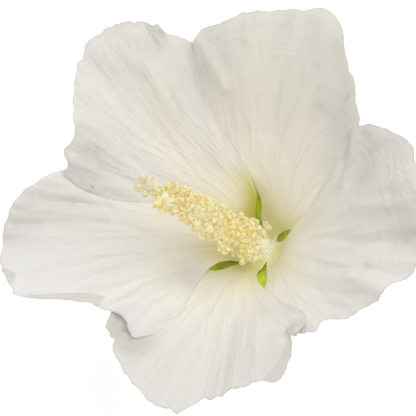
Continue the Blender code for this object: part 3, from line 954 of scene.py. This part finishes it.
def footStubs(draw):
    # short, thick, white filament ends crowded round the foot of the column, longer on one side
    stubs = stamens["stubs"]
    tubes = []
    for i in range(stubs["count"]):
        azimuth = np.radians(i * stamens["goldenAngle"])
        longer = max(0.0, math.cos(azimuth - math.radians(stubs["azimuth"]))) ** 4
        reach = draw.uniform(*stubs["reach"]) + stubs["more"] * longer
        z = draw.uniform(*stubs["zone"])
        out = np.array([math.cos(azimuth), math.sin(azimuth), 0])
        start = out * 0.6 + np.array([0, 0, z])
        end = out * reach + np.array([0, 0, z + 0.5])
        tubes.append(bentTube(start, end, 0.15, draw.uniform(*stubs["radius"]), 8, 6))
    return tubes


def makeStamens():
    draw = np.random.default_rng(7)
    foot, head = stamenPlaces(draw)
    n = len(foot)
    white = columnFinish()
    makeColumn(white)
    tubes = [bentTube(a, b, 0.3, stamens["filament"], 5, 6) for a, b in zip(foot, head)]
    shape = joined(tubes + footStubs(draw))
    piece = newPiece("filaments", leaned(shape), None, {"cream": smooth(shape[0][:, 2], 5, 9)})
    finishPiece(piece, white, "staminal_column")

    bean = antherBean()
    turns = framesAlong(head - foot + draw.uniform(-1.6, 1.6, (n, 3)), draw.uniform(0, 2 * np.pi, n))
    scales = draw.uniform(*stamens["beanScale"], n)
    beans, faces = copies(bean, head, turns, scales)
    lump = stamens["lump"] * valueNoise(beans[:, 0] * 6 + 50, beans[:, 2] * 6 + beans[:, 1] * 5, 3)
    away = beans - np.repeat(head, len(bean[0]), 0)
    beans = beans + away / np.maximum(np.linalg.norm(away, axis=1, keepdims=True), 0.05) * lump[:, None]
    # painted shade: anthers in recessed clumps get a more golden tone, added to each one's random tone
    recessShade = -clumping(np.arctan2(head[:, 1], head[:, 0]), head[:, 2])
    tone = np.repeat(draw.uniform(0, 1, n) + 0.7 * recessShade, len(bean[0]))
    piece = newPiece("anthers", leaned((beans, faces)), None, {"tone": tone})
    finishPiece(piece, antherFinish(), "staminal_column")

    chosen = bean[0][draw.integers(0, len(bean[0]), (n, stamens["grains"]))] * 1.05
    places = np.einsum("nij,nkj->nki", turns, chosen) * scales[:, None, None] + head[:, None]
    places = places.reshape(-1, 3)
    ball, many = smallBall(), len(places)
    upright = np.broadcast_to(np.eye(3), (many, 3, 3))
    dust = copies(ball, places, upright, draw.uniform(*stamens["grainSize"], many))
    # the pollen takes a little of the same painted shade
    tone = draw.uniform(0, 1, many) + np.repeat(0.3 * recessShade, stamens["grains"])
    piece = newPiece("pollen", leaned(dust), None, {"tone": np.repeat(tone, len(ball[0]))})
    finishPiece(piece, pollenFinish(), "staminal_column")
    print("scene: stamens made")


def columnFinish():
    finish = flesh("columnFlesh", 0.5, 0.5, 0.0015, (1.0, 0.95, 0.75))
    grain = finish.noise(500.0, 3.0)
    shade = finish.blend(grain, (0.95, 0.945, 0.89), (0.93, 0.92, 0.82))
    finish.set("Base Color", finish.blend(finish.value("cream"), shade, (0.95, 0.88, 0.58)))
    finish.bump(finish.noise(1400.0), 0.0001)
    # painted light: the column glows a little, standing in for light shining through it
    finish.glow((1.0, 0.98, 0.86), 0.16)
    return finish.material


def antherFinish():
    finish = flesh("antherSkin", 0.85, 0.7, 0.0014, (1.0, 0.85, 0.45))
    spots = finish.noise(1700.0, 2.0)
    # golden where the random tone and the painted shade of recessed clumps are high
    factor = (finish.value("tone") * 0.35 + spots * 1.1 - 0.35).rise(0.15, 0.75)
    finish.set("Base Color", finish.blend(factor, (0.99, 0.92, 0.56), (0.97, 0.78, 0.30)))
    finish.bump(finish.noise(3200.0, 3.0), 0.00015)
    # painted light: the anthers glow a little, standing in for light shining through them
    finish.glow((1.0, 0.76, 0.32), 0.08)
    return finish.material


def pollenFinish():
    finish = flesh("pollenDust", 0.9, 0.5, 0.0008, (1.0, 0.85, 0.5))
    stops = [
        (0.0, (0.99, 0.94, 0.70)),
        (0.45, (0.98, 0.89, 0.54)),
        (0.8, (0.96, 0.76, 0.28)),
        (1.0, (0.90, 0.58, 0.10)),
    ]
    speckle = (finish.noise(4000.0) - 0.5) * 0.1
    # golden where the random tone and the painted shade of recessed clumps are high
    finish.set("Base Color", finish.ramp(finish.value("tone") + speckle, stops))
    finish.bump(finish.noise(6000.0), 0.00008)
    # painted light: the pollen glows a little
    finish.glow((1.0, 0.78, 0.34), 0.06)
    return finish.material


pistil = {
    "outline": [(0.3, -5.05), (1.6, -5.0), (1.95, -3.8), (1.8, -2.2), (1.15, -0.6), (0.45, 1.2),
                (0.42, 20), (0.42, 40.6), (0.25, 41.2)],
    "count": 5,
    "root": 0.13,
    "spread": (1.3, 1.9),
    "top": 46.0,
    "headRadius": 0.92,
    "branchRadius": 0.34,
    "papillae": {"count": 80, "size": (0.10, 0.18)},
}


def stigmaHead(centre, seed):
    # a ball whose radius is raised by two noises, for the small bumps all over it
    a = np.linspace(0, 2 * np.pi, 44, endpoint=False)[:, None]
    t = np.linspace(0.06, np.pi - 0.06, 28)[None, :]
    turn = a * 44 / 6.2832
    bumps = 0.10 * valueNoise(turn / 2, t * 7, seed) + 0.08 * valueNoise(turn, t * 14, seed + 1)
    radius = pistil["headRadius"] * (1 + bumps)
    x, y = radius * np.sin(t) * np.cos(a), radius * np.sin(t) * np.sin(a)
    return closedTube(np.stack([x, y, radius * np.cos(t) * 0.85], -1) + centre)


def makePistil():
    draw = np.random.default_rng(11)
    shapes = [closedTube(turnedPoints(pistil["outline"], 24))]
    for i in range(pistil["count"]):
        turn = 2 * np.pi * (i + 0.5) / pistil["count"]
        out = np.array([math.cos(turn), math.sin(turn), 0])
        foot = out * pistil["root"] + np.array([0, 0, column["top"]])
        top = pistil["top"] - pistil["headRadius"] - draw.uniform(0, 0.6)
        head = out * draw.uniform(*pistil["spread"]) + np.array([0, 0, top])
        shapes.append(bentTube(foot, head, 0.4, pistil["branchRadius"], 12, 9))
        ball = stigmaHead(head, 40 + 2 * i)
        shapes.append(ball)
        papillae = pistil["papillae"]
        many = papillae["count"]
        places = ball[0][draw.integers(0, len(ball[0]), many)]
        upright = np.broadcast_to(np.eye(3), (many, 3, 3))
        shapes.append(copies(smallBall(), places, upright, draw.uniform(*papillae["size"], many)))
    finish = flesh("stigmaFlesh", 0.6, 0.5, 0.0010, (1.0, 1.0, 0.7))
    mottle = finish.noise(900.0, 3.0).rise(0.3, 0.75)
    finish.set("Base Color", finish.blend(mottle, (0.96, 0.91, 0.64), (0.90, 0.83, 0.47)))
    finish.bump(finish.noise(2600.0, 3.0), 0.00015)
    # painted light: the stigmas glow a little
    finish.glow((1.0, 0.95, 0.65), 0.06)
    finishPiece(newPiece("pistilAndStigmas", leaned(joined(shapes))), finish.material, "pistil")
    print("scene: pistil made")


calyx = {
    "start": -1.8,
    "sinus": 9.5,
    "lobe": 19.5,
    "taper": 1.15,
    "below": (0.5, 1.4),
    "thickness": 0.7,
    "across": 240,
    "along": 44,
    "colours": ((0.38, 0.54, 0.03), (0.70, 0.80, 0.06)),
    "outside": (0.26, 0.38, 0.08),
    # painted light where the strength is positive and painted shade where it is negative, on the lobes
    # seen through the slits: azimuth, length, size and strength, then the two colours
    "fresh": [(128, 13.5, 4, 1.0), (300, 11, 4, 0.35), (67, 13, 5, -0.7)],
    "paintedLightColour": (0.86, 0.95, 0.08),
    "paintedShadeColour": (0.22, 0.26, 0.01),
}


def makeCalyx():
    # a cup with five pointed lobes under the petals: its inner face out to the lobes' tips, then back
    u = np.linspace(0, 1, calyx["across"], endpoint=False)[:, None]
    v = np.linspace(0, 1, calyx["along"])[None, :]
    u, v = np.broadcast_arrays(u, v)
    azimuth = u * 360.0
    fromLobe = np.abs((azimuth + 36.0) % 72.0 - 36.0) / 36.0
    reach = calyx["sinus"] + (calyx["lobe"] - calyx["sinus"]) * (1 - fromLobe) ** calyx["taper"]
    s = calyx["start"] + (reach - calyx["start"]) * v
    near, far = calyx["below"]
    below = near + (far - near) * smooth(s, 9, 17)
    ribs = 0.04 * np.cos(np.radians(azimuth) * 35) * smooth(s, 2, 8)
    keel = 0.15 * np.exp(-((fromLobe / 0.07) ** 2)) * smooth(s, 3, 12)
    half = calyx["thickness"] / 2 * (1 - 0.6 * smooth(v, 0.75, 1.0))
    inner = corollaPoint(azimuth, s, ribs - below, calyxTable)
    outer = corollaPoint(azimuth, s, -0.6 - below - half - ribs - keel, cupTable)
    ring = closedRing(np.concatenate([inner, outer[:, ::-1]], 1))
    back = np.concatenate([0 * s, 0 * s + 1], 1)
    # painted light and shade on the lobes' inner face
    fresh = patches(azimuth, s, calyx["fresh"])
    values = {"back": back, "fresh": np.concatenate([fresh, 0 * s], 1)}
    finish = greenFinish("calyxFlesh", *calyx["colours"], 420.0, calyx["outside"])
    finishPiece(newPiece("greenCalyx", ring, None, values), finish, "calyx")
    print("scene: calyx made")


def greenFinish(name, dark, light, scale, outside=None):
    finish = flesh(name, 0.5, 0.3, 0.0010, (0.6, 1.0, 0.2))
    mottle = finish.noise(scale, 4.0).rise(0.3, 0.7)
    shade = finish.blend(mottle, dark, light)
    if outside:
        # painted light where the patches are positive, painted shade where they are negative
        shade = finish.blend(finish.value("fresh"), shade, calyx["paintedLightColour"])
        shade = finish.blend(finish.value("fresh") * -1.0, shade, calyx["paintedShadeColour"])
        shade = finish.blend(finish.value("back") * (mottle * 0.25 + 0.7), shade, outside)
    finish.set("Base Color", shade)
    finish.bump(finish.noise(2400.0, 3.0), 0.00012)
    return finish.material


bracts = {
    "count": 7,
    "width": 1.5,
    "thickness": 0.6,
    "line": [(2.2, -9.25), (4.4, -8.9), (6.6, -7.0), (7.9, -4.0), (9.0, -0.6)],
    "taper": (0.18, 0.97),
    "fold": 0.12,
    "collar": [(1.75, -8.75), (1.75, -9.75), (2.5, -9.75), (2.7, -9.5), (2.7, -9.0), (2.5, -8.75)],
    "around": 14,
    "along": 32,
}


def makeEpicalyx():
    # narrow blades that curve up round the calyx from a collar: their middle line, with an oval section
    knots = np.array(bracts["line"], float)
    t = np.linspace(0, 1, bracts["along"])[None, :]
    a = np.linspace(0, 2 * np.pi, bracts["around"], endpoint=False)[:, None]
    fine, place = np.linspace(0, 1, 200), np.linspace(0, 1, len(knots))
    radius, height = (np.interp(t, fine, blurred(np.interp(fine, place, line), 14)) for line in knots.T)
    low, high = bracts["taper"]
    half = bracts["width"] / 2 * np.sqrt(np.sin(np.pi * (low + (high - low) * t)))
    slope = np.arctan2(np.gradient(height[0]), np.gradient(radius[0]))[None, :]
    thick = bracts["thickness"] / 2 * np.sin(a) * np.minimum(1.0, half / half.max() * 1.3)
    x = radius - np.sin(slope) * thick
    z = height + np.cos(slope) * thick + bracts["fold"] * np.abs(np.cos(a))
    blade = np.stack([x, half * np.cos(a), z], -1)
    shapes = [closedRing(turnedPoints(bracts["collar"], 48))]
    shapes += [closedTube(blade @ turnZ(360.0 * i / bracts["count"]).T) for i in range(bracts["count"])]
    finish = greenFinish("bractFlesh", (0.24, 0.36, 0.05), (0.38, 0.50, 0.09), 500.0)
    finishPiece(newPiece("bracts", joined(shapes)), finish, "epicalyx")
    print("scene: bracts made")


stalk = {
    "outline": [(0.4, -5.4), (3.7, -5.4), (3.75, -6.2), (3.7, -6.9), (2.9, -7.7), (1.9, -8.2),
                (1.43, -8.5), (1.35, -10.4), (1.25, -12.8), (1.15, -13.0), (0.4, -12.95)],
    "sides": 60,
}


def makeStalk():
    points = turnedPoints(stalk["outline"], stalk["sides"])
    ridges = 1 + 0.02 * np.cos(np.arctan2(points[..., 1], points[..., 0]) * 12)
    points[..., :2] *= ridges[..., None]
    finish = greenFinish("stalkFlesh", (0.22, 0.33, 0.07), (0.34, 0.44, 0.12), 600.0)
    finishPiece(newPiece("cutStalk", closedTube(points)), finish, "stalk")
    print("scene: stalk made")


def viewAxes():
    # the camera's right, up and backward directions in the part's frame
    tip, tilt = math.radians(photo["tipDirection"]), math.radians(photo["axisTilt"])
    toTip = np.array([math.cos(tip), math.sin(tip), 0.0])
    back = np.array([0.0, 0.0, 1.0])
    x = math.cos(tilt) * toTip - math.sin(tilt) * back
    axis = math.sin(tilt) * toTip + math.cos(tilt) * back
    flowerInView = np.stack([x, np.cross(axis, x), axis])
    return lieTurn @ flowerInView


def makeCamera():
    axes = viewAxes()
    px, py = photo["meetingPixel"]
    middle = photo["pixels"] / 2
    offset = np.array([(px - middle), (middle - py), 0.0]) * photo["mmPerPixel"]
    place = axes @ (np.array([0, 0, photo["distance"]]) - offset) + np.array(lie["place"])
    camera = bpy.data.cameras.new("photoView")
    camera.sensor_width = photo["sensor"]
    camera.lens = photo["sensor"] * photo["distance"] / (photo["pixels"] * photo["mmPerPixel"])
    camera.clip_start = 0.01
    holder = bpy.data.objects.new("photoView", camera)
    bpy.context.scene.collection.objects.link(holder)
    holder.matrix_world = Matrix.Translation(Vector(place * millimetre)) @ Matrix(axes.tolist()).to_4x4()
    bpy.context.scene.camera = holder
    print("scene: camera made")


light = {
    "key": {"aim": (0.6, 0.5, 1.0), "distance": 0.55, "size": 0.45, "power": 1.45},
    "front": {"aim": (-0.15, 0.0, 1.0), "distance": 0.60, "size": 0.20, "power": 0.42},
    "side": {"aim": (-1.0, -0.1, 1.0), "distance": 0.50, "size": 0.30, "power": 0.42},
    "sky": 0.34,
    "floor": (0.90, 0.90, 0.89),
    "floorGlow": 0.44,
}


def makeLight(name, spec):
    axes = viewAxes()
    aim = axes @ np.array(spec["aim"])
    aim /= np.linalg.norm(aim)
    target = toWorld(np.array([[0.0, 0.0, 20.0]]))[0]
    lamp = bpy.data.lights.new(name, "AREA")
    lamp.shape = "DISK"
    lamp.size = spec["size"]
    lamp.energy = spec["power"]
    holder = bpy.data.objects.new(name, lamp)
    bpy.context.scene.collection.objects.link(holder)
    direction = Vector(aim)
    holder.location = Vector(target) + direction * spec["distance"]
    holder.rotation_mode = "QUATERNION"
    holder.rotation_quaternion = direction.to_track_quat("Z", "Y")


def makeStudio():
    mesh = bpy.data.meshes.new("paleFloor")
    mesh.from_pydata([(-1.5, -1.5, 0), (1.5, -1.5, 0), (1.5, 1.5, 0), (-1.5, 1.5, 0)], [], [(0, 1, 2, 3)])
    floor = bpy.data.objects.new("paleFloor", mesh)
    bpy.context.scene.collection.objects.link(floor)
    finish = Finish("palePaper", Roughness=0.8)
    finish.shader.inputs["Base Color"].default_value = (*light["floor"], 1.0)
    finish.shader.inputs["Emission Color"].default_value = (1.0, 1.0, 1.0, 1.0)
    finish.shader.inputs["Emission Strength"].default_value = light["floorGlow"]
    floor.data.materials.append(finish.material)
    for name in ("key", "front", "side"):
        makeLight(name + "Light", light[name])
    world = bpy.data.worlds.new("softSky")
    bpy.context.scene.world = world
    world.use_nodes = True
    world.node_tree.nodes["Background"].inputs["Color"].default_value = (1.0, 1.0, 1.0, 1.0)
    world.node_tree.nodes["Background"].inputs["Strength"].default_value = light["sky"]
    bpy.context.scene.view_settings.view_transform = "Standard"
    print("scene: studio made")


makeCamera()
makePetals()
makeStamens()
makePistil()
makeCalyx()
makeEpicalyx()
makeStalk()
makeStudio()
